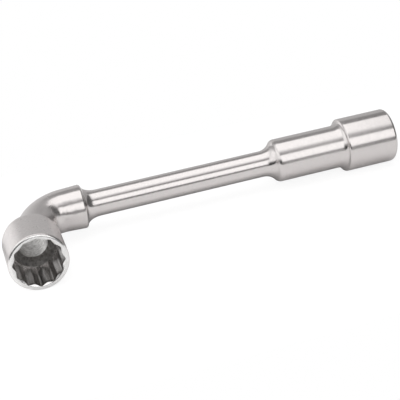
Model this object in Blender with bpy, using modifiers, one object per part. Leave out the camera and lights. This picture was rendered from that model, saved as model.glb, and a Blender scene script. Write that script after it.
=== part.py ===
"""An L-shaped socket wrench at its real size, in metres, with +Z up.

The real wrench is one forging. It is modelled in the five sections that its form has, each a closed
solid: a 12-point socket on the bent end, a bored elbow, a round shank, a bored barrel and a 6-point
socket on the straight end. Neighbouring sections meet face to face on a flat plane.

The wrench lies flat. The straight arm runs along +X and the bent end points to -Y. Lengths are laid
out from the point where the two arms' axes cross, and one empty then moves that layout so that the
origin is under the middle of the wrench, on the surface that it lies on.
"""

import math

import bmesh
import bpy

# The nut and stud that the wrench fits
NUT_SIZE = 0.0270                  # across the nut's flats
NUT_CLEARANCE = 0.0002             # added across the flats in both sockets
STUD_BORE = 0.0185                 # diameter that clears the stud standing out of the nut

# Both sockets
SOCKET_WALL = 0.0023               # metal outside the nut's corners
PILOT_MARGIN = 0.00015             # the turned pilot hole stops this short of the flats
FUNNEL_LENGTH = 0.0050             # cone between the drive hole and the stud bore
LEAD_IN_SLOPE = math.radians(30.0)  # lead-in cone, measured from the mouth's plane

# Angled 12-point socket
TWELVE_POINT_DEPTH = 0.0231
TWELVE_POINT_TURN = math.radians(-5.0)  # of the points about the socket's axis
ANGLED_FLOOR = 0.0006              # from the funnel to the elbow
ANGLED_LEAD_IN = 0.0001            # the lead-in starts this far outside the corners
ANGLED_MOUTH_EDGE = 0.0012         # rounding of the mouth's outer edge, across the axis
ANGLED_MOUTH_LENGTH = 0.0010       # the same along the axis

# Elbow, a tube that narrows from its collar to the angled socket
ELBOW_REACH = 0.0355               # from the crossing of the axes to the angled socket
BEND_START = 0.0260                # the bend starts this far along the straight arm
BEND_DEPTH = 0.0440                # the bend's other half axis, along the bent end
ELBOW_WALL = 0.0050                # metal around the stud bore at the collar
NECK_WALL = 0.0027                 # the same next to the angled socket
SHOULDER_LENGTH = 0.0054           # rounded back edge of the angled socket, along its axis
SHOULDER_EDGE = 0.0032             # the same across its axis
COLLAR_LENGTH = 0.0128             # straight stretch between bend and shank
COLLAR_EDGE = 0.0025               # length of the collar's rounded edge
COLLAR_EDGE_SHARE = 0.30           # of the rise from shank to collar
COLLAR_STEEPEST = math.radians(68.0)

# Shank
SHANK_DIAMETER = 0.0173
SHANK_LENGTH = 0.1295              # from the collar to the barrel, with both flares
COLLAR_FLARE = 0.0095              # length of the flare into the collar
BARREL_FLARE = 0.0087              # length of the flare into the barrel

# Barrel
BARREL_LENGTH = 0.0489
BARREL_WALL = 0.00515              # metal around the stud bore
BARREL_EDGE = 0.0032               # length of the rounded edge next to the shank
BARREL_EDGE_SHARE = 0.27           # of the rise from shank to barrel
BARREL_STEEPEST = math.radians(52.0)
BARREL_FLOOR = 0.0027              # metal between the drilled tip and the shank
DRILL_SLOPE = math.radians(31.0)   # of the drilled tip, from the bore's floor

# Straight 6-point socket
SIX_POINT_DEPTH = 0.0260
STRAIGHT_FLOOR = 0.0038            # from the funnel to the barrel
STRAIGHT_LEAD_IN = 0.0003          # the lead-in starts this far outside the corners
STRAIGHT_MOUTH_EDGE = 0.0014       # rounding of the mouth's outer edge, across the axis
STRAIGHT_MOUTH_LENGTH = 0.0026     # the same along the axis
STEP_FILLET = 0.0032               # length of the fillet between barrel and socket
STEP_EDGE = 0.0023                 # length of the socket's rounded back edge
STEP_EDGE_SHARE = 0.415            # of the rise from barrel to socket
STEP_STEEPEST = math.radians(66.0)

# Smoothness of the round forms
TURN_STEPS = 48
BEND_STEPS = 18
STRAIGHT_STEPS = 4
ROUND_STEPS = 5
SHARP_ANGLE = math.radians(40.0)   # edges that turn by more than this are shaded sharp
CUT_OVERSHOOT = 0.0020             # cutters run this far past the faces that they open
WELD_DISTANCE = 0.00001
LEAST_BULGE = 2.05                 # a rounded step's arc can't get flatter than this

# Sizes that follow from the ones above
HEXAGON_SIDES = 6
ACROSS_FLATS = NUT_SIZE + NUT_CLEARANCE
CORNER_RADIUS = ACROSS_FLATS / (2.0 * math.cos(math.pi / HEXAGON_SIDES))
PILOT_RADIUS = ACROSS_FLATS / 2.0 - PILOT_MARGIN
SOCKET_RADIUS = CORNER_RADIUS + SOCKET_WALL
BORE_RADIUS = STUD_BORE / 2.0
ELBOW_RADIUS = BORE_RADIUS + ELBOW_WALL
NECK_RADIUS = BORE_RADIUS + NECK_WALL
BARREL_RADIUS = BORE_RADIUS + BARREL_WALL
SHANK_RADIUS = SHANK_DIAMETER / 2.0
ANGLED_LENGTH = TWELVE_POINT_DEPTH + FUNNEL_LENGTH + ANGLED_FLOOR
STRAIGHT_LENGTH = SIX_POINT_DEPTH + FUNNEL_LENGTH + STRAIGHT_FLOOR

# Radii where two sections meet half way up a rounded step
COLLAR_SEAM_RADIUS = ELBOW_RADIUS - (ELBOW_RADIUS - SHANK_RADIUS) * COLLAR_EDGE_SHARE
BARREL_SEAM_RADIUS = BARREL_RADIUS - (BARREL_RADIUS - SHANK_RADIUS) * BARREL_EDGE_SHARE
STEP_SEAM_RADIUS = SOCKET_RADIUS - (SOCKET_RADIUS - BARREL_RADIUS) * STEP_EDGE_SHARE

# Planes where the sections meet, along each arm from the crossing of the axes
COLLAR_END = BEND_START + COLLAR_LENGTH
SHANK_END = COLLAR_END + SHANK_LENGTH
BARREL_END = SHANK_END + BARREL_LENGTH
STRAIGHT_MOUTH = BARREL_END + STRAIGHT_LENGTH
ANGLED_MOUTH = ELBOW_REACH + ANGLED_LENGTH

# Directions that a section's own Z axis can point in
ALONG_STRAIGHT_ARM = (0.0, math.pi / 2.0, 0.0)
ALONG_BENT_END = (math.pi / 2.0, 0.0, 0.0)

CHROME_COLOUR = (0.62, 0.61, 0.60, 1.0)
CHROME_ROUGHNESS = 0.28


def clear_scene():
    for item in list(bpy.data.objects):
        bpy.data.objects.remove(item, do_unlink=True)


def new_collection(name):
    collection = bpy.data.collections.new(name)
    bpy.context.scene.collection.children.link(collection)
    return collection


def chrome(name):
    """Satin chrome plating on steel."""
    material = bpy.data.materials.new(name)
    material.use_nodes = True
    shader = material.node_tree.nodes["Principled BSDF"]
    shader.inputs["Base Color"].default_value = CHROME_COLOUR
    shader.inputs["Metallic"].default_value = 1.0
    shader.inputs["Roughness"].default_value = CHROME_ROUGHNESS
    return material


def add_object(name, mesh, collection, parent):
    item = bpy.data.objects.new(name, mesh)
    collection.objects.link(item)
    item.parent = parent
    return item


def hide_from_model(item):
    item.hide_render = True
    item.display_type = "WIRE"


def quarter_round(start, end, leaves_along_axis):
    """Quarter of an ellipse between two (radius, height) points of a profile."""
    points = []
    for step in range(ROUND_STEPS + 1):
        angle = math.pi / 2.0 * step / ROUND_STEPS
        early = 1.0 - math.cos(angle)
        late = math.sin(angle)
        across, along = (early, late) if leaves_along_axis else (late, early)
        radius = start[0] + (end[0] - start[0]) * across
        height = start[1] + (end[1] - start[1]) * along
        points.append((radius, height))
    return points


def step_round(start, end, steepest):
    """Part of an ellipse that leaves its start along the axis and reaches its end at the steepest angle."""
    across = end[0] - start[0]
    along = end[1] - start[1]
    bulge = max(math.tan(steepest) * abs(along / across), LEAST_BULGE)
    turn = math.acos(1.0 / (bulge - 1.0))
    points = []
    for step in range(ROUND_STEPS + 1):
        angle = turn * step / ROUND_STEPS
        radius = start[0] + across * (1.0 - math.cos(angle)) / (1.0 - math.cos(turn))
        height = start[1] + along * math.sin(angle) / math.sin(turn)
        points.append((radius, height))
    return points


def turned(name, profile, closed, collection, parent, place, direction):
    """Turn a profile of (radius, height) points, given down its outer side, about its own Z axis."""
    mesh = bpy.data.meshes.new(name)
    shape = bmesh.new()
    corners = [shape.verts.new((radius, 0.0, height)) for radius, height in profile]
    for first, second in zip(corners, corners[1:]):
        shape.edges.new((first, second))
    if closed:
        shape.edges.new((corners[-1], corners[0]))
    shape.to_mesh(mesh)
    shape.free()
    item = add_object(name, mesh, collection, parent)
    item.location = place
    item.rotation_euler = direction
    screw = item.modifiers.new("Turn", "SCREW")
    screw.axis = "Z"
    screw.angle = 2.0 * math.pi
    screw.steps = TURN_STEPS
    screw.render_steps = TURN_STEPS
    screw.use_merge_vertices = True
    screw.merge_threshold = WELD_DISTANCE
    screw.use_smooth_shade = True
    return item


def prism_cutter(name, sides, radius, turn, low, high, collection, parent, place, direction):
    """A straight prism between two heights on the own Z axis of the section that it cuts."""
    mesh = bpy.data.meshes.new(name)
    shape = bmesh.new()
    bmesh.ops.create_cone(
        shape, cap_ends=True, segments=sides, radius1=radius, radius2=radius, depth=high - low)
    bmesh.ops.translate(shape, verts=shape.verts, vec=(0.0, 0.0, (low + high) / 2.0))
    shape.to_mesh(mesh)
    shape.free()
    item = add_object(name, mesh, collection, parent)
    item.location = place
    item.rotation_euler = direction
    item.rotation_euler.rotate_axis("Z", turn)
    hide_from_model(item)
    return item


def combine(item, other, operation):
    boolean = item.modifiers.new(other.name, "BOOLEAN")
    boolean.operation = operation
    boolean.solver = "EXACT"
    boolean.object = other


def socket(name, length, drive_depth, floor, lead_in, mouth_edge, mouth_length, back, hexagons, first_turn,
           parts, cutters, parent, place, direction):
    """A turned socket with its mouth up, whose drive hole is one or more hexagons turned evenly.

    The back is the profile of the socket's lower outer edge. The first turn is the first hexagon's.
    """
    lead_in_radius = CORNER_RADIUS + lead_in
    lead_in_depth = (lead_in_radius - PILOT_RADIUS) * math.tan(LEAD_IN_SLOPE)
    profile = [(lead_in_radius, length)]
    profile += quarter_round(
        (SOCKET_RADIUS - mouth_edge, length), (SOCKET_RADIUS, length - mouth_length), False)
    profile += back
    profile += [
        (BORE_RADIUS, 0.0),
        (BORE_RADIUS, floor),
        (PILOT_RADIUS, floor + FUNNEL_LENGTH),
        (PILOT_RADIUS, length - lead_in_depth),
    ]
    item = turned(name, profile, True, parts, parent, place, direction)
    for index in range(hexagons):
        turn = first_turn + 2.0 * math.pi / HEXAGON_SIDES * index / hexagons
        cutter = prism_cutter(
            f"{name}_hexagon_{index + 1}", HEXAGON_SIDES, CORNER_RADIUS, turn,
            length - drive_depth, length + CUT_OVERSHOOT, cutters, parent, place, direction)
        combine(item, cutter, "DIFFERENCE")
    return item


def build_angled_socket(parts, cutters, parent):
    return socket(
        "angled_socket", ANGLED_LENGTH, TWELVE_POINT_DEPTH, ANGLED_FLOOR, ANGLED_LEAD_IN,
        ANGLED_MOUTH_EDGE, ANGLED_MOUTH_LENGTH, [(SOCKET_RADIUS, 0.0)], 2, TWELVE_POINT_TURN,
        parts, cutters, parent, (0.0, -ELBOW_REACH, 0.0), ALONG_BENT_END)


def build_straight_socket(parts, cutters, parent):
    back = step_round((SOCKET_RADIUS, STEP_EDGE), (STEP_SEAM_RADIUS, 0.0), STEP_STEEPEST)
    return socket(
        "straight_socket", STRAIGHT_LENGTH, SIX_POINT_DEPTH, STRAIGHT_FLOOR, STRAIGHT_LEAD_IN,
        STRAIGHT_MOUTH_EDGE, STRAIGHT_MOUTH_LENGTH, back, 1, 0.0,
        parts, cutters, parent, (BARREL_END, 0.0, 0.0), ALONG_STRAIGHT_ARM)


def elbow_line():
    """Points (x, y, width) along the middle of the bent tube, from the collar to the socket.

    The width is a share of the elbow's radius: the tube narrows over the collar's rounded edge and
    then slowly down to the neck. The line stops half way along the shoulder, so that the tube's end
    lies inside the shoulder's metal.
    """
    edge_start = COLLAR_END - COLLAR_EDGE
    edge = step_round((ELBOW_RADIUS, edge_start), (COLLAR_SEAM_RADIUS, COLLAR_END), COLLAR_STEEPEST)
    points = [(height, 0.0, radius / ELBOW_RADIUS) for radius, height in reversed(edge)]
    line = []
    for step in range(1, STRAIGHT_STEPS):
        line.append((edge_start + (BEND_START - edge_start) * step / STRAIGHT_STEPS, 0.0))
    last_turn = math.acos(1.0 - (ELBOW_REACH - SHOULDER_LENGTH / 2.0) / BEND_DEPTH)
    for step in range(BEND_STEPS + 1):
        turn = last_turn * step / BEND_STEPS
        line.append((BEND_START * (1.0 - math.sin(turn)), BEND_DEPTH * (math.cos(turn) - 1.0)))
    lengths = []
    walked = 0.0
    before = (edge_start, 0.0)
    for place in line:
        walked += math.dist(before, place)
        lengths.append(walked)
        before = place
    for (across, along), length in zip(line, lengths):
        radius = ELBOW_RADIUS + (NECK_RADIUS - ELBOW_RADIUS) * length / walked
        points.append((across, along, radius / ELBOW_RADIUS))
    return points


def bent_tube(name, collection, parent):
    """The elbow's tube as a closed mesh, swept along its line with a round section."""
    line = elbow_line()
    curve = bpy.data.curves.new(name, "CURVE")
    curve.dimensions = "3D"
    curve.twist_mode = "Z_UP"
    curve.bevel_depth = ELBOW_RADIUS
    curve.bevel_resolution = TURN_STEPS // 2 - 2
    curve.use_fill_caps = True
    spline = curve.splines.new("POLY")
    spline.points.add(len(line) - 1)
    for point, (across, along, width) in zip(spline.points, line):
        point.co = (across, along, 0.0, 1.0)
        point.radius = width
    guide = add_object(name + "_line", curve, collection, parent)
    bpy.context.view_layer.update()
    depsgraph = bpy.context.evaluated_depsgraph_get()
    mesh = bpy.data.meshes.new_from_object(guide.evaluated_get(depsgraph))
    mesh.name = name
    bpy.data.objects.remove(guide, do_unlink=True)
    shape = bmesh.new()
    shape.from_mesh(mesh)
    bmesh.ops.remove_doubles(shape, verts=shape.verts, dist=WELD_DISTANCE)
    bmesh.ops.recalc_face_normals(shape, faces=shape.faces)
    shape.to_mesh(mesh)
    shape.free()
    mesh.shade_smooth()
    mesh.set_sharp_from_angle(angle=SHARP_ANGLE)
    return add_object(name, mesh, collection, parent)


def build_elbow(parts, cutters, parent):
    """Bent tube, the rounded back of the angled socket, and the stud bore right through both."""
    socket_end = (0.0, -ELBOW_REACH, 0.0)
    elbow = bent_tube("elbow", parts, parent)
    start = (SOCKET_RADIUS - SHOULDER_EDGE, -SHOULDER_LENGTH)
    profile = [(0.0, 0.0)]
    profile += quarter_round((SOCKET_RADIUS, 0.0), start, True)
    profile.append((0.0, -SHOULDER_LENGTH))
    shoulder = turned("elbow_shoulder", profile, False, cutters, parent, socket_end, ALONG_BENT_END)
    hide_from_model(shoulder)
    combine(elbow, shoulder, "UNION")
    bore = prism_cutter(
        "elbow_bore", TURN_STEPS, BORE_RADIUS, math.pi / TURN_STEPS,
        -ELBOW_REACH - SOCKET_RADIUS - CUT_OVERSHOOT, CUT_OVERSHOOT,
        cutters, parent, socket_end, ALONG_BENT_END)
    combine(elbow, bore, "DIFFERENCE")
    return elbow


def build_shank(parts, parent):
    """Solid round bar that flares out to the barrel and to the collar."""
    profile = [(0.0, SHANK_LENGTH)]
    barrel_flare = step_round(
        (SHANK_RADIUS, SHANK_LENGTH - BARREL_FLARE), (BARREL_SEAM_RADIUS, SHANK_LENGTH), BARREL_STEEPEST)
    profile += reversed(barrel_flare)
    profile += step_round((SHANK_RADIUS, COLLAR_FLARE), (COLLAR_SEAM_RADIUS, 0.0), COLLAR_STEEPEST)
    profile.append((0.0, 0.0))
    return turned("shank", profile, False, parts, parent, (COLLAR_END, 0.0, 0.0), ALONG_STRAIGHT_ARM)


def build_barrel(parts, parent):
    """Round barrel, bored from the straight socket so that a long stud can run into it."""
    bore_floor = BARREL_FLOOR + BORE_RADIUS * math.tan(DRILL_SLOPE)
    profile = [
        (0.0, BARREL_FLOOR),
        (BORE_RADIUS, bore_floor),
        (BORE_RADIUS, BARREL_LENGTH),
    ]
    fillet = step_round(
        (BARREL_RADIUS, BARREL_LENGTH - STEP_FILLET), (STEP_SEAM_RADIUS, BARREL_LENGTH), STEP_STEEPEST)
    profile += reversed(fillet)
    profile += step_round((BARREL_RADIUS, BARREL_EDGE), (BARREL_SEAM_RADIUS, 0.0), BARREL_STEEPEST)
    profile.append((0.0, 0.0))
    return turned("barrel", profile, False, parts, parent, (SHANK_END, 0.0, 0.0), ALONG_STRAIGHT_ARM)


def build_wrench():
    clear_scene()
    parts = new_collection("l_shaped_socket_wrench")
    cutters = new_collection("cutters")
    layout = add_object("wrench_layout", None, parts, None)
    layout.location = (
        (SOCKET_RADIUS - STRAIGHT_MOUTH) / 2.0, (ANGLED_MOUTH - SOCKET_RADIUS) / 2.0, SOCKET_RADIUS)
    sections = [
        build_angled_socket(parts, cutters, layout),
        build_elbow(parts, cutters, layout),
        build_shank(parts, layout),
        build_barrel(parts, layout),
        build_straight_socket(parts, cutters, layout),
    ]
    for section in sections:
        section.data.materials.append(chrome(section.name + "_chrome"))


build_wrench()
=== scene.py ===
"""Looks of the L-shaped socket wrench: fine surfaces, satin chrome and a small studio.

Each section of the forging gets a fine skin that replaces its solid. Skins are built around the
crossing of the two arms' axes, with the straight arm along +X and the bent end along -Y, and their
main sizes are read from the solids' boxes. Lengths are in metres.
"""

import math

import bmesh
import bpy
from mathutils import Matrix, Vector


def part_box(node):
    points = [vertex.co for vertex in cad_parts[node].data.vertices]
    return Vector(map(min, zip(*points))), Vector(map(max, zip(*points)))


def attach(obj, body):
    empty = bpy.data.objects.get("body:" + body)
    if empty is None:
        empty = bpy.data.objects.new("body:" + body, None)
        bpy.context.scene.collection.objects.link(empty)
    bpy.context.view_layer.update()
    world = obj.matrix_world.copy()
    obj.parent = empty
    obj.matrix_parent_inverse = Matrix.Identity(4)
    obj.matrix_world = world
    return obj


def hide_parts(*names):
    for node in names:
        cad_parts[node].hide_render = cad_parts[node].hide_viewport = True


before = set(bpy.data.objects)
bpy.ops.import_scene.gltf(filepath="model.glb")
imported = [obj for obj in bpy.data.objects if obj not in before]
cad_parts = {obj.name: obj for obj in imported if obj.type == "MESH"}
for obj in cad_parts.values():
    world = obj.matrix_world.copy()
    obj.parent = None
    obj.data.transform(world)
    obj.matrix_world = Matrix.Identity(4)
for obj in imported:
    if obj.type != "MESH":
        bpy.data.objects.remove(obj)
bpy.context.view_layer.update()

# Planes and radii that the solids' boxes give
ANGLED_LOW, ANGLED_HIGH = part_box("angled_socket")
STRAIGHT_LOW, STRAIGHT_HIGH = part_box("straight_socket")
SHANK_LOW, SHANK_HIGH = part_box("shank")
CROSSING = Vector((
    (ANGLED_LOW.x + ANGLED_HIGH.x) / 2.0,
    (STRAIGHT_LOW.y + STRAIGHT_HIGH.y) / 2.0,
    (STRAIGHT_LOW.z + STRAIGHT_HIGH.z) / 2.0,
))
SOCKET_RADIUS = (STRAIGHT_HIGH.y - STRAIGHT_LOW.y) / 2.0
ELBOW_REACH = CROSSING.y - ANGLED_HIGH.y
ANGLED_LENGTH = ANGLED_HIGH.y - ANGLED_LOW.y
COLLAR_END = SHANK_LOW.x - CROSSING.x
SHANK_LENGTH = SHANK_HIGH.x - SHANK_LOW.x
SHANK_END = COLLAR_END + SHANK_LENGTH
BARREL_LENGTH = STRAIGHT_LOW.x - SHANK_HIGH.x
BARREL_END = SHANK_END + BARREL_LENGTH
STRAIGHT_LENGTH = STRAIGHT_HIGH.x - STRAIGHT_LOW.x

# Outside radii between the sockets
ELBOW_RADIUS = 0.01425             # at the collar
NECK_RADIUS = 0.01195              # at the back of the angled head
SHANK_RADIUS = 0.00865
BARREL_RADIUS = 0.0144

# Drive holes and bores
HEXAGON_SIDES = 6
POINTS = 12
ACROSS_FLATS = 0.0272
PILOT_MARGIN = 0.00015             # the turned pilot hole stops this short of the flats
TWELVE_POINT_DEPTH = 0.0231
TWELVE_POINT_TURN = math.radians(-5.0)
TWELVE_POINT_SETBACK = 0.0009      # from a corner to where its rounding starts
SIX_POINT_DEPTH = 0.0260
SIX_POINT_SETBACK = 0.0006
FUNNEL_LENGTH = 0.0050             # cone between a drive hole and its bore
BREAK = 0.00012                    # rounding of the drive holes' edges in the mouths
BORE_RADIUS = 0.00925
BARREL_FLOOR = 0.0027              # metal between the drilled tip and the shank
DRILL_SLOPE = math.radians(31.0)
CORNER_RADIUS = ACROSS_FLATS / (2.0 * math.cos(math.pi / HEXAGON_SIDES))
PILOT_RADIUS = ACROSS_FLATS / 2.0 - PILOT_MARGIN

# Arcs over the mouths from the outside to the lead-in: radius, and slope at which each one ends
LEAD_IN_SLOPE = math.radians(30.0)
ANGLED_RIM = (
    (0.0008, math.radians(50.0)),
    (0.0022, 0.0),
    (0.0008, math.radians(-8.0)),
    (0.0036, math.radians(-17.0)),
    (0.0010, -LEAD_IN_SLOPE),
)
STRAIGHT_RIM = (
    (0.0018, math.radians(28.0)),
    (0.0029, math.radians(4.0)),
    (0.0022, -LEAD_IN_SLOPE),
)
RIM_MARGIN = 0.0001                # the rim is round down to this far outside the corners
RIM_INSIDE = CORNER_RADIUS + RIM_MARGIN
POLISHED_FROM = math.radians(40.0)  # the rim is machined bright inside this slope

# Elbow, whose middle line is part of an ellipse with the first two sizes as its half axes
BEND_START = 0.0260                # along the straight arm
BEND_DEPTH = 0.0440                # along the bent end
LINED_UP = (0.5, 0.9)              # share of the way to the head over which sections turn to face it
SHOULDER_LENGTH = 0.0054           # rounded back edge of the angled head, along its axis
SHOULDER_EDGE = 0.0032             # the same across its axis
SHOULDER_FILLET = 0.0007           # between the tube and the head's flat back
SHOULDER_BACK = ELBOW_REACH - SHOULDER_LENGTH
EXIT_ROUNDING = 0.0005             # rounding of the stud bore's exit

# Inner side of the bend, with the degrees of the bend over which each change grows and fades
INNER_CUT = 0.0018                 # how much tighter the inner side is
CUT_GROWS = (10.0, 38.0)
CUT_FADES = (50.0, 75.0)
INNER_FILL = 0.000065              # keeps the inner side straight where the bend starts
FILL_GROWS = (0.0, 5.0)
FILL_FADES = (20.0, 40.0)
INNER_FOCUS = 3                    # larger keeps both closer to the inner side

# Rounded steps: lengths of the hollow and of the bulging arc, share of the bulge, steepest angle
COLLAR_FLARE = 0.0095
COLLAR_EDGE = 0.0017
COLLAR_EDGE_SHARE = 0.26
COLLAR_STEEPEST = math.radians(74.0)
BARREL_FLARE = 0.0087
BARREL_EDGE = 0.0032
BARREL_EDGE_SHARE = 0.27
BARREL_STEEPEST = math.radians(52.0)
STEP_FILLET = 0.0048
STEP_EDGE = 0.0014
STEP_EDGE_SHARE = 0.30
STEP_STEEPEST = math.radians(66.0)
COLLAR_SEAM_RADIUS = ELBOW_RADIUS - (ELBOW_RADIUS - SHANK_RADIUS) * COLLAR_EDGE_SHARE
BARREL_SEAM_RADIUS = BARREL_RADIUS - (BARREL_RADIUS - SHANK_RADIUS) * BARREL_EDGE_SHARE
STEP_SEAM_RADIUS = SOCKET_RADIUS - (SOCKET_RADIUS - BARREL_RADIUS) * STEP_EDGE_SHARE
COLLAR_STRAIGHT = COLLAR_END - COLLAR_EDGE - BEND_START  # from the collar's edge to the bend

# Fineness of the meshes
TURN_STEPS = 192                   # around
ROUND_STEPS = 14
FLARE_STEPS = 30
SHANK_STEPS = 60
BARREL_STEPS = 30
SOCKET_STEPS = 24
RIM_ARC_STEPS = 12
LEAD_IN_STEPS = 8
DRIVE_STEPS = 10
FUNNEL_STEPS = 6
CORNER_STEPS = 6
TWELVE_POINT_FLAT_STEPS = 4
SIX_POINT_FLAT_STEPS = 26
COLLAR_STEPS = 12
BEND_STEPS = 100
FILLET_STEPS = 8
SHOULDER_STEPS = 24
PATCH_STEPS = 16
EXIT_STEPS = 6
BORE_STEPS = 12
BEND_SAMPLES = 400
BISECTIONS = 40
SHARP_ANGLE = math.radians(28.0)   # edges that turn by more than this are shaded sharp

# Window in the bend's outside that makes way for the stud bore's exit, in steps of the bend
WINDOW_AFTER = 10
WINDOW_BEFORE_END = 4
WINDOW_HALF = 60.0                 # degrees around the tube

# Which material a band of faces takes
CHROME, MOUTH, DRIVE, BORE, HEAD, BEND = range(6)


def eased(value, first, last):
    """0 before the first value, 1 after the last one, with a smooth change between."""
    share = min(max((value - first) / (last - first), 0.0), 1.0)
    return share * share * (3.0 - 2.0 * share)


def step_round(start, end, steepest, steps=ROUND_STEPS):
    """Part of an ellipse that leaves its start along the axis and reaches its end at the steepest angle."""
    across = end[0] - start[0]
    along = end[1] - start[1]
    turn = math.acos(1.0 / (math.tan(steepest) * abs(along / across) - 1.0))
    points = []
    for step in range(steps + 1):
        angle = turn * step / steps
        radius = start[0] + across * (1.0 - math.cos(angle)) / (1.0 - math.cos(turn))
        height = start[1] + along * math.sin(angle) / math.sin(turn)
        points.append((radius, height))
    return points


def straight_run(start, end, steps):
    """Points between two profile points, without the two ends."""
    return [
        (start[0] + (end[0] - start[0]) * step / steps, start[1] + (end[1] - start[1]) * step / steps)
        for step in range(1, steps)
    ]


def rounded_corner(start, corner, end, share):
    """Point on the curve that rounds a corner, by a share of the way from its start to its end."""
    return start.lerp(corner, share).lerp(corner.lerp(end, share), share)


def add_face(shape, vertices, material):
    face = shape.faces.new(vertices)
    face.material_index = material
    face.smooth = True


def loft(shape, first, second, material):
    """One band of quads between two closed loops of as many vertices."""
    count = len(first)
    for index in range(count):
        after = (index + 1) % count
        add_face(shape, (first[index], first[after], second[after], second[index]), material)


def finish_piece(name, shape, place, node, materials):
    """Turn a bmesh into the piece that stands for one CAD node."""
    bmesh.ops.recalc_face_normals(shape, faces=shape.faces)
    mesh = bpy.data.meshes.new(name)
    shape.to_mesh(mesh)
    shape.free()
    mesh.transform(place)
    mesh.set_sharp_from_angle(angle=SHARP_ANGLE)
    for material in materials:
        mesh.materials.append(material)
    piece = bpy.data.objects.new(name, mesh)
    bpy.context.scene.collection.objects.link(piece)
    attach(piece, "root")
    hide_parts(node)


def along_straight_arm(distance):
    """Where a section's own Z axis runs along the straight arm, from a distance along it."""
    start = CROSSING + Vector((distance, 0.0, 0.0))
    return Matrix.Translation(start) @ Matrix.Rotation(math.pi / 2.0, 4, "Y")


def along_bent_end(distance):
    """The same for the bent end."""
    start = CROSSING - Vector((0.0, distance, 0.0))
    return Matrix.Translation(start) @ Matrix.Rotation(math.pi / 2.0, 4, "X")


def with_material(points, material):
    return [(radius, height, material) for radius, height in points]


def turned_piece(name, profile, place, node, materials):
    """A closed solid turned from (radius, height, material) points that start and end on the axis."""
    shape = bmesh.new()
    loops = []
    for radius, height, _ in profile:
        if radius == 0.0:
            loops.append([shape.verts.new((0.0, 0.0, height))])
            continue
        loop = []
        for step in range(TURN_STEPS):
            angle = 2.0 * math.pi * step / TURN_STEPS
            loop.append(shape.verts.new((radius * math.cos(angle), radius * math.sin(angle), height)))
        loops.append(loop)
    for first, second, (_, _, material) in zip(loops, loops[1:], profile[1:]):
        if len(first) == len(second):
            loft(shape, first, second, material)
            continue
        tip, rim = sorted((first, second), key=len)
        for index in range(TURN_STEPS):
            add_face(shape, (tip[0], rim[index], rim[(index + 1) % TURN_STEPS]), material)
    finish_piece(name, shape, place, node, materials)


# Shank and barrel


def build_shank(materials):
    barrel_flare = step_round(
        (SHANK_RADIUS, SHANK_LENGTH - BARREL_FLARE), (BARREL_SEAM_RADIUS, SHANK_LENGTH),
        BARREL_STEEPEST, FLARE_STEPS)
    collar_flare = step_round(
        (SHANK_RADIUS, COLLAR_FLARE), (COLLAR_SEAM_RADIUS, 0.0), COLLAR_STEEPEST, FLARE_STEPS)
    profile = [(0.0, SHANK_LENGTH)]
    profile += reversed(barrel_flare)
    profile += straight_run(barrel_flare[0], collar_flare[0], SHANK_STEPS)
    profile += collar_flare
    profile.append((0.0, 0.0))
    turned_piece(
        "shank_skin", with_material(profile, CHROME), along_straight_arm(COLLAR_END), "shank", materials)


def build_barrel(materials):
    bore_floor = BARREL_FLOOR + BORE_RADIUS * math.tan(DRILL_SLOPE)
    inside = [(0.0, BARREL_FLOOR), (BORE_RADIUS, bore_floor), (BORE_RADIUS, BARREL_LENGTH)]
    fillet = step_round(
        (BARREL_RADIUS, BARREL_LENGTH - STEP_FILLET), (STEP_SEAM_RADIUS, BARREL_LENGTH), STEP_STEEPEST)
    edge = step_round((BARREL_RADIUS, BARREL_EDGE), (BARREL_SEAM_RADIUS, 0.0), BARREL_STEEPEST)
    outside = list(reversed(fillet))
    outside += straight_run(fillet[0], edge[0], BARREL_STEPS)
    outside += edge
    outside.append((0.0, 0.0))
    profile = with_material(inside, BORE) + with_material(outside, CHROME)
    turned_piece("barrel_skin", profile, along_straight_arm(SHANK_END), "barrel", materials)


# Sockets


def rounded_outline(corners, setback, flat_steps):
    """A closed outline of straight sides whose corners are rounded."""
    points = []
    for index, corner in enumerate(corners):
        before = corners[index - 1]
        after = corners[(index + 1) % len(corners)]
        start = corner + (before - corner).normalized() * setback
        end = corner + (after - corner).normalized() * setback
        for step in range(CORNER_STEPS + 1):
            points.append(rounded_corner(start, corner, end, step / CORNER_STEPS))
        next_start = after + (corner - after).normalized() * setback
        for step in range(1, flat_steps):
            points.append(end.lerp(next_start, step / flat_steps))
    return points


def on_circle(angle, radius):
    return Vector((math.cos(angle), math.sin(angle))) * radius


def twelve_point_outline():
    """Points on the corner circle, with the corners between them where two hexagons' flats cross."""
    half_step = math.pi / POINTS
    crossing_radius = ACROSS_FLATS / 2.0 / math.cos(half_step)
    corners = []
    for index in range(2 * POINTS):
        radius = crossing_radius if index % 2 else CORNER_RADIUS
        corners.append(on_circle(half_step * index + TWELVE_POINT_TURN, radius))
    return rounded_outline(corners, TWELVE_POINT_SETBACK, TWELVE_POINT_FLAT_STEPS)


def six_point_outline():
    half_step = math.pi / HEXAGON_SIDES
    corners = [on_circle(half_step * (2 * index + 1), CORNER_RADIUS) for index in range(HEXAGON_SIDES)]
    return rounded_outline(corners, SIX_POINT_SETBACK, SIX_POINT_FLAT_STEPS)


def rim_profile(length, arcs):
    """Points of a mouth's rim from the outside inwards, as radius, height and slope."""
    points = [(SOCKET_RADIUS, 0.0, math.pi / 2.0)]
    for arc, last in arcs:
        radius, height, first = points[-1]
        for step in range(1, RIM_ARC_STEPS + 1):
            slope = first + (last - first) * step / RIM_ARC_STEPS
            points.append((
                radius + arc * (math.sin(slope) - math.sin(first)),
                height + arc * (math.cos(slope) - math.cos(first)),
                slope,
            ))
    top = max(height for _, height, _ in points)
    return [(radius, height - top + length, slope) for radius, height, slope in points]


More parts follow.
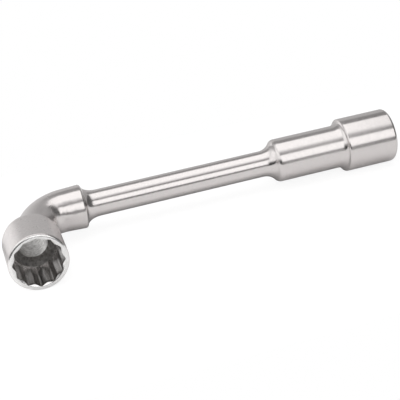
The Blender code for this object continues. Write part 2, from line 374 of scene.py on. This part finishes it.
def socket_piece(name, outline, length, drive_depth, arcs, back, outer, place, node, materials):
    """A socket with its mouth up, whose drive hole follows the outline.

    Its outside starts with the profile of its back, and outer is the material of that outside.
    """
    shape = bmesh.new()
    directions = [point.normalized() for point in outline]
    rim = rim_profile(length, arcs)
    drive_floor = length - drive_depth
    funnel_floor = drive_floor - FUNNEL_LENGTH

    def rim_height(radius):
        """Height of the mouth's rim, and of the lead-in cone inside it."""
        for (wide, high, _), (narrow, low, _) in zip(rim, rim[1:]):
            if radius >= narrow:
                return low + (high - low) * (radius - narrow) / (wide - narrow)
        narrow, low, _ = rim[-1]
        return low - (narrow - radius) * math.tan(LEAD_IN_SLOPE)

    def round_loop(radius, height):
        return [shape.verts.new((*(way * radius), height)) for way in directions]

    def lead_in_loop(share, below):
        """From the rim's last circle towards the drive hole's outline, by a share of the way."""
        loop = []
        for point, way in zip(outline, directions):
            radius = RIM_INSIDE + (point.length - RIM_INSIDE) * share
            loop.append(shape.verts.new((*(way * radius), rim_height(radius) - below)))
        return loop

    def drive_loop(height):
        return [shape.verts.new((*point, height)) for point in outline]

    # Loops from the back over the outside, the rim and the drive hole to the bore, with their materials
    bands = []
    for radius, height in back + straight_run(back[-1], rim[0][:2], SOCKET_STEPS):
        bands.append((round_loop(radius, height), outer))
    for radius, height, slope in rim:
        if radius > RIM_INSIDE:
            bands.append((round_loop(radius, height), outer if slope > POLISHED_FROM else MOUTH))
    for step in range(LEAD_IN_STEPS):
        bands.append((lead_in_loop(step / LEAD_IN_STEPS, 0.0), MOUTH))
    bands.append((lead_in_loop(1.0 - BREAK / (RIM_INSIDE - PILOT_RADIUS), 0.0), MOUTH))
    bands.append((lead_in_loop(1.0, BREAK), MOUTH))
    lowest_lip = rim_height(PILOT_RADIUS) - BREAK
    for step in range(1, DRIVE_STEPS + 1):
        bands.append((drive_loop(lowest_lip + (drive_floor - lowest_lip) * step / DRIVE_STEPS), DRIVE))
    bands.append((round_loop(PILOT_RADIUS, drive_floor), DRIVE))
    funnel_start = (PILOT_RADIUS, drive_floor)
    funnel_end = (BORE_RADIUS, funnel_floor)
    for radius, height in straight_run(funnel_start, funnel_end, FUNNEL_STEPS):
        bands.append((round_loop(radius, height), BORE))
    bands.append((round_loop(BORE_RADIUS, funnel_floor), BORE))
    bands.append((round_loop(BORE_RADIUS, 0.0), BORE))
    for (first, _), (second, material) in zip(bands, bands[1:]):
        loft(shape, first, second, material)
    loft(shape, bands[-1][0], bands[0][0], outer)
    finish_piece(name, shape, place, node, materials)


def build_angled_socket(materials):
    socket_piece(
        "angled_socket_skin", twelve_point_outline(), ANGLED_LENGTH, TWELVE_POINT_DEPTH, ANGLED_RIM,
        [(SOCKET_RADIUS, 0.0)], HEAD, along_bent_end(ELBOW_REACH), "angled_socket", materials)


def build_straight_socket(materials):
    back = step_round((SOCKET_RADIUS, STEP_EDGE), (STEP_SEAM_RADIUS, 0.0), STEP_STEEPEST)
    socket_piece(
        "straight_socket_skin", six_point_outline(), STRAIGHT_LENGTH, SIX_POINT_DEPTH, STRAIGHT_RIM,
        list(reversed(back)), CHROME, along_straight_arm(BARREL_END), "straight_socket", materials)


# Elbow


def bend_middle(turn):
    """Point on the middle line of the bend, in the plane of the two arms."""
    return Vector((BEND_START * (1.0 - math.sin(turn)), BEND_DEPTH * (math.cos(turn) - 1.0)))


def turn_at(depth):
    """Turn of the bend at which its middle line is this far along the bent end."""
    return math.acos(1.0 - depth / BEND_DEPTH)


LAST_TURN = turn_at(ELBOW_REACH - SHOULDER_LENGTH / 2.0)


def bend_lengths():
    """Lengths walked along the bend's middle line at even turns up to the last one."""
    lengths = [0.0]
    for step in range(BEND_SAMPLES):
        first = bend_middle(LAST_TURN * step / BEND_SAMPLES)
        second = bend_middle(LAST_TURN * (step + 1) / BEND_SAMPLES)
        lengths.append(lengths[-1] + (second - first).length)
    return lengths


BEND_LENGTHS = bend_lengths()
COLUMNS = [2.0 * math.pi * step / TURN_STEPS for step in range(TURN_STEPS)]


def narrowed(length):
    """Radius of the elbow's tube after a length walked from the collar's edge."""
    share = min(length / (COLLAR_STRAIGHT + BEND_LENGTHS[-1]), 1.0)
    return ELBOW_RADIUS + (NECK_RADIUS - ELBOW_RADIUS) * share


def bend_section(turn):
    """Middle, outward direction and radius of the bent tube's section at a turn of the bend."""
    middle = bend_middle(turn)
    outward = Vector((-BEND_DEPTH * math.sin(turn), BEND_START * math.cos(turn))).normalized()
    # Near the head the sections line up with its flat back
    outward = outward.lerp(Vector((-1.0, 0.0)), eased(-middle.y / SHOULDER_BACK, *LINED_UP)).normalized()
    place = min(turn / LAST_TURN, 1.0) * BEND_SAMPLES
    index = min(int(place), BEND_SAMPLES - 1)
    length = BEND_LENGTHS[index] + (BEND_LENGTHS[index + 1] - BEND_LENGTHS[index]) * (place - index)
    return middle, outward, narrowed(COLLAR_STRAIGHT + length)


def inner_cut(turn, column):
    """How far the bend's surface lies inside its round section, most on the inner side of the bend."""
    degrees = math.degrees(turn)
    cut = INNER_CUT * eased(degrees, *CUT_GROWS) * (1.0 - eased(degrees, *CUT_FADES))
    fill = INNER_FILL * eased(degrees, *FILL_GROWS) * (1.0 - eased(degrees, *FILL_FADES))
    return (cut - fill) * ((1.0 - math.cos(column)) / 2.0) ** INNER_FOCUS


def back_of_elbow(x, z):
    """The point on the outside of the bend that lies behind a point of the angled socket's mouth."""
    low, high = 0.0, LAST_TURN
    for _ in range(BISECTIONS):
        turn = (low + high) / 2.0
        middle, outward, radius = bend_section(turn)
        across = math.sqrt(max(radius * radius - z * z, 0.0))
        if middle.x + across * outward.x > x:
            low = turn
        else:
            high = turn
    return Vector((x, middle.y + across * outward.y, z))


def section_loop(shape, middle, outward, reaches):
    """A loop around a point of the elbow's middle line, with its reach at each column."""
    loop = []
    for column, reach in zip(COLUMNS, reaches):
        point = middle + outward * (reach * math.cos(column))
        loop.append(shape.verts.new((point.x, point.y, reach * math.sin(column))))
    return loop


def collar_loops(shape):
    """From the shank's end over the collar's rounded edge to the start of the bend."""
    outward = Vector((0.0, 1.0))
    edge_start = COLLAR_END - COLLAR_EDGE
    profile = step_round((ELBOW_RADIUS, edge_start), (COLLAR_SEAM_RADIUS, COLLAR_END), COLLAR_STEEPEST)
    profile.reverse()
    for step in range(1, COLLAR_STEPS):
        walked = COLLAR_STRAIGHT * step / COLLAR_STEPS
        profile.append((narrowed(walked), edge_start - walked))
    return [
        section_loop(shape, Vector((distance, 0.0)), outward, [radius] * TURN_STEPS)
        for radius, distance in profile
    ]


def bend_loops(shape):
    """Along the bend to the fillet at the head's back."""
    end = turn_at(SHOULDER_BACK - SHOULDER_FILLET)
    loops = []
    for step in range(BEND_STEPS + 1):
        turn = end * step / BEND_STEPS
        middle, outward, radius = bend_section(turn)
        reaches = [radius - inner_cut(turn, column) for column in COLUMNS]
        loops.append(section_loop(shape, middle, outward, reaches))
    return loops


def shoulder_loops(shape):
    """The fillet between the tube and the head's flat back, then the rounded edge of that back."""
    loops = []
    for step in range(1, FILLET_STEPS + 1):
        angle = math.pi / 2.0 * step / FILLET_STEPS
        depth = SHOULDER_BACK - SHOULDER_FILLET * (1.0 - math.sin(angle))
        middle, outward, radius = bend_section(turn_at(depth))
        reach = radius + SHOULDER_FILLET * (1.0 - math.cos(angle))
        loops.append(section_loop(shape, Vector((middle.x, -depth)), outward, [reach] * TURN_STEPS))
    for step in range(SHOULDER_STEPS + 1):
        angle = math.pi / 2.0 * step / SHOULDER_STEPS
        depth = ELBOW_REACH - SHOULDER_LENGTH * math.cos(angle)
        rim = SOCKET_RADIUS - SHOULDER_EDGE * (1.0 - math.sin(angle))
        middle = bend_middle(turn_at(depth))
        reaches = []
        for column in COLUMNS:
            offset = middle.x * math.cos(column)
            reaches.append(offset + math.sqrt(offset * offset - middle.x ** 2 + rim * rim))
        loops.append(section_loop(shape, Vector((middle.x, -depth)), Vector((-1.0, 0.0)), reaches))
    return loops


def skin_with_window(shape, loops, early, late, first_of_head):
    """Skin the loops, apart from a window in the bend's outside, and return the window's edge."""
    half = round(TURN_STEPS * WINDOW_HALF / 360.0)
    for index, (first, second) in enumerate(zip(loops, loops[1:])):
        material = HEAD if index >= first_of_head else BEND
        for step in range(TURN_STEPS):
            offset = (step + TURN_STEPS // 2) % TURN_STEPS - TURN_STEPS // 2
            if early <= index < late and -half <= offset < half:
                continue
            after = (step + 1) % TURN_STEPS
            add_face(shape, (first[step], first[after], second[after], second[step]), material)
    edge = [loops[early][offset % TURN_STEPS] for offset in range(-half, half)]
    edge += [loops[index][half] for index in range(early, late)]
    edge += [loops[late][offset % TURN_STEPS] for offset in range(half, -half, -1)]
    edge += [loops[index][-half % TURN_STEPS] for index in range(late, early, -1)]
    for loop in loops[early:late + 1]:
        for vertex in loop:
            if not vertex.link_faces:
                shape.verts.remove(vertex)
    return edge


def loft_through(shape, last, points_at, steps, material):
    """Bands from a loop to its points at each share of a way, and the loop at the end of that way."""
    for step in range(1, steps + 1):
        loop = [shape.verts.new(point) for point in points_at(step / steps)]
        loft(shape, last, loop, material)
        last = loop
    return last


def add_stud_bore(shape, window):
    """From the window over the rounded exit through the bore, whose last loop is returned."""
    directions = [Vector((vertex.co.x, vertex.co.z)).normalized() for vertex in window]
    reaches = [math.hypot(vertex.co.x, vertex.co.z) for vertex in window]
    corners = [back_of_elbow(way.x * BORE_RADIUS, way.y * BORE_RADIUS) for way in directions]

    def patch(share):
        for way, reach in zip(directions, reaches):
            radius = reach + (BORE_RADIUS + EXIT_ROUNDING - reach) * share
            yield back_of_elbow(way.x * radius, way.y * radius)

    def rounding(share):
        for start, corner in zip(exit_starts, corners):
            yield rounded_corner(start, corner, corner - Vector((0.0, EXIT_ROUNDING, 0.0)), share)

    def bore(share):
        for start in bore_starts:
            yield start.lerp(Vector((start.x, -ELBOW_REACH, start.z)), share)

    last = loft_through(shape, window, patch, PATCH_STEPS, BEND)
    exit_starts = [vertex.co.copy() for vertex in last]
    last = loft_through(shape, last, rounding, EXIT_STEPS, BEND)
    bore_starts = [vertex.co.copy() for vertex in last]
    return loft_through(shape, last, bore, BORE_STEPS, BORE)


def loop_edges(shape, loop):
    return [shape.edges.get(pair) for pair in zip(loop, loop[1:] + loop[:1])]


def build_elbow(materials):
    shape = bmesh.new()
    collar = collar_loops(shape)
    bend = bend_loops(shape)
    loops = collar + bend + shoulder_loops(shape)
    early = len(collar) + WINDOW_AFTER
    late = len(collar) + BEND_STEPS - WINDOW_BEFORE_END
    window = skin_with_window(shape, loops, early, late, len(collar) + len(bend))
    bore_end = add_stud_bore(shape, window)

    # Hidden faces where the elbow meets its neighbours
    bmesh.ops.bridge_loops(shape, edges=loop_edges(shape, loops[-1]) + loop_edges(shape, bore_end))
    shape.faces.new(loops[0])
    finish_piece("elbow_skin", shape, Matrix.Translation(CROSSING), "elbow", materials)


# Materials
CHROME_COLOUR = Vector((0.655, 0.623, 0.615))
GRAIN_SIZE = 0.00022
TURNING_PITCH = 0.00016
STREAK_STRETCH = 30.0
BEND_END_ROUGHNESS = 0.32
NOISE_LOW, NOISE_HIGH = 0.3, 0.7   # most of a noise lies between these


class Tree:
    """A node tree, with short calls for the nodes that are used more than once."""

    def __init__(self, owner):
        owner.use_nodes = True
        self.nodes = owner.node_tree.nodes
        self.links = owner.node_tree.links

    def node(self, kind, inputs, **settings):
        """A new node whose inputs get values, or links from other nodes' outputs."""
        node = self.nodes.new("ShaderNode" + kind)
        for setting, value in settings.items():
            setattr(node, setting, value)
        for key, value in inputs.items():
            if isinstance(value, bpy.types.NodeSocket):
                self.links.new(value, node.inputs[key])
            else:
                node.inputs[key].default_value = value
        return node

    def place(self):
        return self.node("TexCoord", {}).outputs["Object"]

    def split_place(self):
        return self.node("SeparateXYZ", {"Vector": self.place()}).outputs

    def math(self, operation, *values):
        return self.node("Math", dict(enumerate(values)), operation=operation).outputs["Value"]

    def vector_math(self, operation, *values):
        outputs = self.node("VectorMath", dict(enumerate(values)), operation=operation).outputs
        return outputs["Value" if operation == "LENGTH" else "Vector"]

    def map_range(self, value, source, target, interpolation="LINEAR"):
        """A value's place in the source range, moved to the target range."""
        inputs = {"Value": value}
        inputs["From Min"], inputs["From Max"] = source
        inputs["To Min"], inputs["To Max"] = target
        return self.node("MapRange", inputs, interpolation_type=interpolation).outputs["Result"]

    def seen_by(self, *kinds):
        """1 for rays of any of these kinds."""
        path = self.node("LightPath", {}).outputs
        result = path[kinds[0]]
        for kind in kinds[1:]:
            result = self.math("MAXIMUM", result, path[kind])
        return result


class Metal(Tree):
    """One metal's node tree, with the marks that it may have."""

    def __init__(self, name):
        self.material = bpy.data.materials.new(name)
        super().__init__(self.material)
        self.shader = self.nodes["Principled BSDF"].inputs
        self.shader["Metallic"].default_value = 1.0

    def noise(self, size, detail, stretch=(1.0, 1.0, 1.0)):
        """Noise with marks of a size, drawn out along an axis where its stretch is large."""
        scale = [1.0 / share for share in stretch]
        mapped = self.node("Mapping", {"Vector": self.place(), "Scale": scale}).outputs["Vector"]
        inputs = {"Vector": mapped, "Scale": 1.0 / size, "Detail": detail}
        return self.node("TexNoise", inputs).outputs["Fac"]

    def turning_lines(self, measured):
        """Fine lines that a lathe leaves, by the distance from the crossing along the measured axes."""
        offset = self.vector_math("SUBTRACT", self.place(), CROSSING)
        distance = self.vector_math("LENGTH", self.vector_math("MULTIPLY", offset, measured))
        return self.math("SINE", self.math("MULTIPLY", distance, 2.0 * math.pi / TURNING_PITCH))

    def colour(self, value, dark, light):
        ramp = self.node("MapRange", {"Vector": value}, data_type="FLOAT_VECTOR")
        limits = {socket.identifier: socket for socket in ramp.inputs}
        limits["From_Min_FLOAT3"].default_value = [NOISE_LOW] * 3
        limits["From_Max_FLOAT3"].default_value = [NOISE_HIGH] * 3
        limits["To_Min_FLOAT3"].default_value = dark
        limits["To_Max_FLOAT3"].default_value = light
        self.links.new(ramp.outputs["Vector"], self.shader["Base Color"])

    def roughness(self, value, smooth, rough):
        result = self.map_range(value, (NOISE_LOW, NOISE_HIGH), (smooth, rough))
        self.links.new(result, self.shader["Roughness"])

    def rougher_along_x(self, start, end, roughness):
        """Raise the roughness that is set so far to a larger one, evenly from one X to another."""
        so_far = self.shader["Roughness"].links[0].from_socket
        share = self.map_range(self.split_place()["X"], (start, end), (0.0, 1.0))
        mix = self.node("Mix", {"Factor": share, "A": so_far, "B": roughness})
        self.links.new(mix.outputs["Result"], self.shader["Roughness"])

    def bump(self, value, height):
        """Lay a bump over those that are there."""
        inputs = {"Strength": 1.0, "Distance": height, "Height": value}
        if self.shader["Normal"].is_linked:
            inputs["Normal"] = self.shader["Normal"].links[0].from_socket
        self.links.new(self.node("Bump", inputs).outputs["Normal"], self.shader["Normal"])


def plated(name, smooth, rough, mottling, grain, waves):
    """Chrome plating over a finely blasted forging, with the heights of its grain and of its waves."""
    metal = Metal(name)
    dark = CHROME_COLOUR * (1.0 - mottling)
    light = CHROME_COLOUR * (1.0 + mottling)
    metal.colour(metal.noise(size=0.0012, detail=4.0), dark, light)
    metal.roughness(metal.noise(size=0.0035, detail=5.0), smooth, rough)
    metal.bump(metal.noise(GRAIN_SIZE, detail=2.0), grain)
    metal.bump(metal.noise(size=0.006, detail=1.0), waves)
    return metal


def satin_chrome():
    return plated(
        "satin_chrome", smooth=0.15, rough=0.21, mottling=0.025, grain=0.000004, waves=0.00002).material


def blasted_chrome():
    return plated(
        "blasted_chrome", smooth=0.27, rough=0.35, mottling=0.06, grain=0.000006, waves=0.00002).material


def bend_chrome():
    """Wavy from the bending, and as rough as the head where it reaches it."""
    metal = plated("bend_chrome", smooth=0.15, rough=0.21, mottling=0.025, grain=0.000005, waves=0.00016)
    metal.rougher_along_x(CROSSING.x + BEND_START, CROSSING.x + BEND_START / 2.0, BEND_END_ROUGHNESS)
    return metal.material


def machined_mouth(name, across):
    """Bright faces that were turned after plating."""
    metal = Metal(name)
    metal.colour(metal.noise(size=0.002, detail=3.0), dark=(0.73, 0.72, 0.71), light=(0.81, 0.80, 0.795))
    metal.roughness(metal.noise(size=0.001, detail=3.0), smooth=0.16, rough=0.26)
    metal.bump(metal.turning_lines(across), height=0.000001)
    metal.bump(metal.noise(GRAIN_SIZE, detail=2.0), height=0.000002)
    return metal.material


def broached_steel(name, along):
    """Drive walls with scores along the way that the broach went."""
    metal = Metal(name)
    stretch = [1.0 + (STREAK_STRETCH - 1.0) * share for share in along]
    streaks = metal.noise(size=0.00045, detail=4.0, stretch=stretch)
    metal.colour(streaks, dark=(0.20, 0.19, 0.185), light=(0.58, 0.56, 0.55))
    metal.roughness(streaks, smooth=0.24, rough=0.36)
    metal.bump(streaks, height=0.00002)
    return metal.material


def bored_steel(name, along):
    """Drilled bores with fine turning lines across their axis."""
    metal = Metal(name)
    metal.colour(metal.noise(size=0.0017, detail=4.0), dark=(0.30, 0.29, 0.28), light=(0.66, 0.65, 0.64))
    metal.roughness(metal.noise(size=0.0008, detail=3.0), smooth=0.32, rough=0.42)
    metal.bump(metal.turning_lines(along), height=0.0000025)
    return metal.material


def build_wrench():
    along_bent, across_bent = (0.0, 1.0, 0.0), (1.0, 0.0, 1.0)
    along_straight, across_straight = (1.0, 0.0, 0.0), (0.0, 1.0, 1.0)
    chrome = satin_chrome()
    bent = [
        chrome,
        machined_mouth("angled_mouth", across_bent),
        broached_steel("angled_broach", along_bent),
        bored_steel("angled_bore", along_bent),
        blasted_chrome(),
        bend_chrome(),
    ]
    straight = [
        chrome,
        machined_mouth("straight_mouth", across_straight),
        broached_steel("straight_broach", along_straight),
        bored_steel("straight_bore", along_straight),
    ]
    build_angled_socket(bent)
    build_elbow(bent)
    build_shank(straight)
    build_barrel(straight)
    build_straight_socket(straight)


# Studio: a tent of panels round the X axis, angles in degrees from the front horizon over the top
TENT_RADIUS = 1.2
TENT_LEFT = -2.6
TENT_RIGHT = 1.35
TENT_STEPS = 16
WHITE = 1.48
TENT_ROWS = (
    # name, first and last angle, then X and brightness at each change
    ("lip", -10.0, 10.0, (
        (TENT_LEFT, 0.06), (-0.30, 0.06), (-0.20, 0.30), (0.05, 0.36), (0.12, 0.24), (0.38, 0.24),
        (0.45, 0.50), (0.56, 0.48), (0.66, 0.26), (TENT_RIGHT, 0.16))),
    ("low_front", 10.0, 18.0, (
        (TENT_LEFT, 0.10), (-0.36, 0.10), (-0.10, WHITE), (0.78, WHITE), (0.95, 0.12), (TENT_RIGHT, 0.12))),
    ("middle_front", 18.0, 27.0, (
        (TENT_LEFT, 0.55), (-0.45, 0.55), (-0.15, WHITE), (0.78, WHITE), (0.95, 0.12), (TENT_RIGHT, 0.12))),
    ("front", 27.0, 45.0, (
        (TENT_LEFT, 1.30), (-0.50, 1.30), (-0.20, WHITE), (0.78, WHITE), (0.95, 0.12), (TENT_RIGHT, 0.12))),
    ("gap", 45.0, 56.0, (
        (TENT_LEFT, 1.25), (-0.65, 1.25), (-0.42, 0.30), (-0.15, 0.45), (0.05, 0.45), (0.12, 0.28),
        (0.40, 0.28), (0.46, 0.62), (0.57, 0.62), (0.67, 0.24), (TENT_RIGHT, 0.12))),
    ("low_fade", 56.0, 61.0, (
        (TENT_LEFT, 1.25), (-0.65, 1.25), (-0.42, 0.50), (-0.20, 0.65), (0.76, 0.65), (0.84, 0.15),
        (TENT_RIGHT, 0.15))),
    ("fade", 61.0, 66.0, (
        (TENT_LEFT, 1.25), (-0.65, 1.25), (-0.42, 0.80), (-0.20, 0.90), (0.76, 0.90), (0.84, 0.15),
        (TENT_RIGHT, 0.15))),
    ("high_fade", 66.0, 71.0, (
        (TENT_LEFT, 1.25), (-0.65, 1.25), (-0.42, 1.10), (-0.20, 1.20), (0.76, 1.20), (0.84, 0.15),
        (TENT_RIGHT, 0.15))),
    ("top", 71.0, 117.0, (
        (TENT_LEFT, 1.35), (-1.10, 1.35), (-0.85, 0.95), (-0.60, 1.30), (-0.35, WHITE), (0.55, WHITE),
        (0.64, 1.25), (0.76, 1.25), (0.84, 0.15), (TENT_RIGHT, 0.15))),
    ("low_strip", 117.0, 130.0, (
        (TENT_LEFT, 0.90), (-0.60, 0.90), (-0.30, 0.40), (0.55, 0.37), (0.64, 0.24), (0.72, 0.26),
        (0.85, 0.50), (TENT_RIGHT, 0.50))),
    ("strip", 130.0, 143.0, (
        (TENT_LEFT, 0.60), (-0.60, 0.60), (-0.30, 0.38), (0.55, 0.36), (0.64, 0.28), (0.72, 0.30),
        (0.85, 0.50), (TENT_RIGHT, 0.50))),
    ("low_back", 143.0, 155.0, (
        (TENT_LEFT, 0.40), (-0.50, 0.42), (-0.20, 0.70), (0.0, 0.65), (TENT_RIGHT, 0.45))),
    ("back", 155.0, 205.0, (
        (TENT_LEFT, 1.30), (-0.70, 1.25), (-0.45, 0.90), (0.0, 0.65), (TENT_RIGHT, 0.45))),
)
TENT_ENDS = (
    # name, X, first and last angle, brightness
    ("right_end_front", TENT_RIGHT, -10.0, 60.0, 0.14),
    ("right_end_top", TENT_RIGHT, 60.0, 105.0, 0.12),
    ("right_end_back", TENT_RIGHT, 105.0, 205.0, 0.45),
    ("left_end_low", TENT_LEFT, -10.0, 30.0, 0.20),
    ("left_end_top", TENT_LEFT, 30.0, 125.0, 1.10),
    ("left_end_back", TENT_LEFT, 125.0, 205.0, 0.40),
)

# The white world, for rays that see the background and for its light on the object
WORLD_SEEN = 1.0
WORLD_LIGHT = 0.6

# Floor, with what the camera sees of it and what shows in the metal, where it has painted light and painted
# shade
FLOOR_HALF_LENGTH = 1.0
FLOOR_FRONT = -0.16
FLOOR_BACK = 0.15
FLOOR_PAINT = 0.2
FLOOR_GLOW = 0.88                  # seen by the camera
LEFT_PAINTED_LIGHT = 0.14                   # painted light: floor glow seen in the metal on the left of the head
LEFT_PAINTED_LIGHT_FROM = CROSSING.x
LEFT_PAINTED_LIGHT_FULL = CROSSING.x - 0.03
FRONT_PAINTED_LIGHT = 0.11                  # painted light: floor glow seen in the metal before the straight arm
FRONT_PAINTED_LIGHT_FROM = CROSSING.y + 0.01
FRONT_PAINTED_LIGHT_FULL = CROSSING.y - 0.02
REFLECTED_PAINT = 0.95             # seen in the metal away from the straight arm
PAINTED_SHADE_BRIGHTNESS = 0.35                 # painted shade: darker floor paint seen in the metal below the straight arm
PAINTED_SHADE_MIDDLE = CROSSING.y + 0.014
PAINTED_SHADE_HALF_WIDTH = 0.038

# Camera, worked out from the photograph's outline
CAMERA_TARGET = CROSSING + Vector((0.11518, 0.0, -0.01528))
CAMERA_DISTANCE = 0.67219
CAMERA_AZIMUTH = math.radians(-13.443)
CAMERA_ELEVATION = math.radians(24.645)
CAMERA_ROLL = math.radians(-7.822)
CAMERA_LENS = 91.05                # millimetres, as the sensor
CAMERA_SENSOR = 36.0


def stage_piece(name, shape, material, in_view):
    """Turn a bmesh into a piece of the studio, which the camera sees or doesn't."""
    mesh = bpy.data.meshes.new(name)
    shape.to_mesh(mesh)
    shape.free()
    mesh.materials.append(material)
    piece = bpy.data.objects.new(name, mesh)
    bpy.context.scene.collection.objects.link(piece)
    piece.visible_camera = in_view


def even_glow(strength):
    """How strong a panel glows, where that is the same all over."""
    return lambda tree: strength


def graded_glow(left, right, first, last):
    """The same, where it changes evenly from one X to another."""
    return lambda tree: tree.map_range(tree.split_place()["X"], (left, right), (first, last))


def glowing(name, strength):
    material = bpy.data.materials.new(name)
    tree = Tree(material)
    tree.nodes.clear()
    light = tree.node("Emission", {"Strength": strength(tree)})
    tree.node("OutputMaterial", {"Surface": light.outputs["Emission"]})
    return material


def tent_arc(shape, x, first, last):
    """The tent's section at one X, from one angle to another."""
    arc = []
    for step in range(TENT_STEPS + 1):
        angle = math.radians(first + (last - first) * step / TENT_STEPS)
        arc.append(shape.verts.new((x, -TENT_RADIUS * math.cos(angle), TENT_RADIUS * math.sin(angle))))
    return arc


def build_tent():
    for row, first, last, changes in TENT_ROWS:
        for number, (start, end) in enumerate(zip(changes, changes[1:])):
            left, left_strength = start
            right, right_strength = end
            shape = bmesh.new()
            near = tent_arc(shape, left, first, last)
            far = tent_arc(shape, right, first, last)
            for step in range(TENT_STEPS):
                shape.faces.new((near[step], near[step + 1], far[step + 1], far[step]))
            name = f"{row}_{number}"
            glow = graded_glow(left, right, left_strength, right_strength)
            stage_piece(name, shape, glowing(name, glow), in_view=False)
    for name, x, first, last, strength in TENT_ENDS:
        shape = bmesh.new()
        middle = shape.verts.new((x, 0.0, 0.0))
        rim = tent_arc(shape, x, first, last)
        for near, far in zip(rim, rim[1:]):
            shape.faces.new((middle, near, far))
        stage_piece(name, shape, glowing(name, even_glow(strength)), in_view=False)


def build_world():
    world = bpy.data.worlds.new("studio")
    tree = Tree(world)
    seen = tree.seen_by("Is Camera Ray", "Is Glossy Ray", "Is Transmission Ray")
    background = tree.nodes["Background"].inputs
    background["Color"].default_value = (1.0, 1.0, 1.0, 1.0)
    strength = tree.map_range(seen, (0.0, 1.0), (WORLD_LIGHT, WORLD_SEEN))
    tree.links.new(strength, background["Strength"])
    bpy.context.scene.world = world


def pale_floor():
    """Paint that takes the shadow, and a glow that makes it white for the camera. In the metal the floor
    also shows painted light on the left of the head and before the straight arm, and painted shade below
    the straight arm.
    """
    material = bpy.data.materials.new("pale_floor")
    tree = Tree(material)
    tree.nodes.clear()
    place = tree.split_place()
    camera = tree.seen_by("Is Camera Ray")
    mirror = tree.seen_by("Is Glossy Ray", "Is Transmission Ray")
    # Painted light, seen only in the metal: the floor glows brighter on the left of the head and before the
    # straight arm
    left = tree.map_range(place["X"], (LEFT_PAINTED_LIGHT_FROM, LEFT_PAINTED_LIGHT_FULL), (0.0, LEFT_PAINTED_LIGHT))
    front = tree.map_range(place["Y"], (FRONT_PAINTED_LIGHT_FROM, FRONT_PAINTED_LIGHT_FULL), (0.0, FRONT_PAINTED_LIGHT))
    camera_glow = tree.math("MULTIPLY", camera, FLOOR_GLOW)
    strength = tree.math("MULTIPLY_ADD", mirror, tree.math("ADD", left, front), camera_glow)
    glow = tree.node("Emission", {"Strength": strength})
    # Painted shade: a strip of darker paint below the straight arm, seen only in the metal
    away = tree.math("ABSOLUTE", tree.math("SUBTRACT", place["Y"], PAINTED_SHADE_MIDDLE))
    reflected = tree.map_range(
        away, (0.0, PAINTED_SHADE_HALF_WIDTH), (PAINTED_SHADE_BRIGHTNESS, REFLECTED_PAINT), interpolation="SMOOTHSTEP")
    paint = tree.map_range(mirror, (0.0, 1.0), (FLOOR_PAINT, reflected))
    diffuse = tree.node("BsdfDiffuse", {"Color": paint})
    both = tree.node("AddShader", {0: glow.outputs["Emission"], 1: diffuse.outputs["BSDF"]})
    tree.node("OutputMaterial", {"Surface": both.outputs["Shader"]})
    return material


def build_floor():
    shape = bmesh.new()
    corners = (
        (-FLOOR_HALF_LENGTH, FLOOR_FRONT),
        (FLOOR_HALF_LENGTH, FLOOR_FRONT),
        (FLOOR_HALF_LENGTH, FLOOR_BACK),
        (-FLOOR_HALF_LENGTH, FLOOR_BACK),
    )
    shape.faces.new([shape.verts.new((x, y, 0.0)) for x, y in corners])
    stage_piece("floor", shape, pale_floor(), in_view=True)


def build_camera():
    back = Vector((
        math.sin(CAMERA_AZIMUTH) * math.cos(CAMERA_ELEVATION),
        -math.cos(CAMERA_AZIMUTH) * math.cos(CAMERA_ELEVATION),
        math.sin(CAMERA_ELEVATION),
    ))
    data = bpy.data.cameras.new("camera")
    data.lens = CAMERA_LENS
    data.sensor_width = CAMERA_SENSOR
    camera = bpy.data.objects.new("camera", data)
    bpy.context.scene.collection.objects.link(camera)
    turn = back.to_track_quat("Z", "Y").to_matrix().to_4x4()
    camera.matrix_world = (
        Matrix.Translation(CAMERA_TARGET + back * CAMERA_DISTANCE) @ turn
        @ Matrix.Rotation(CAMERA_ROLL, 4, "Z"))
    bpy.context.scene.camera = camera


build_wrench()
build_tent()
build_world()
build_floor()
build_camera()
bpy.context.scene.view_settings.view_transform = "Standard"
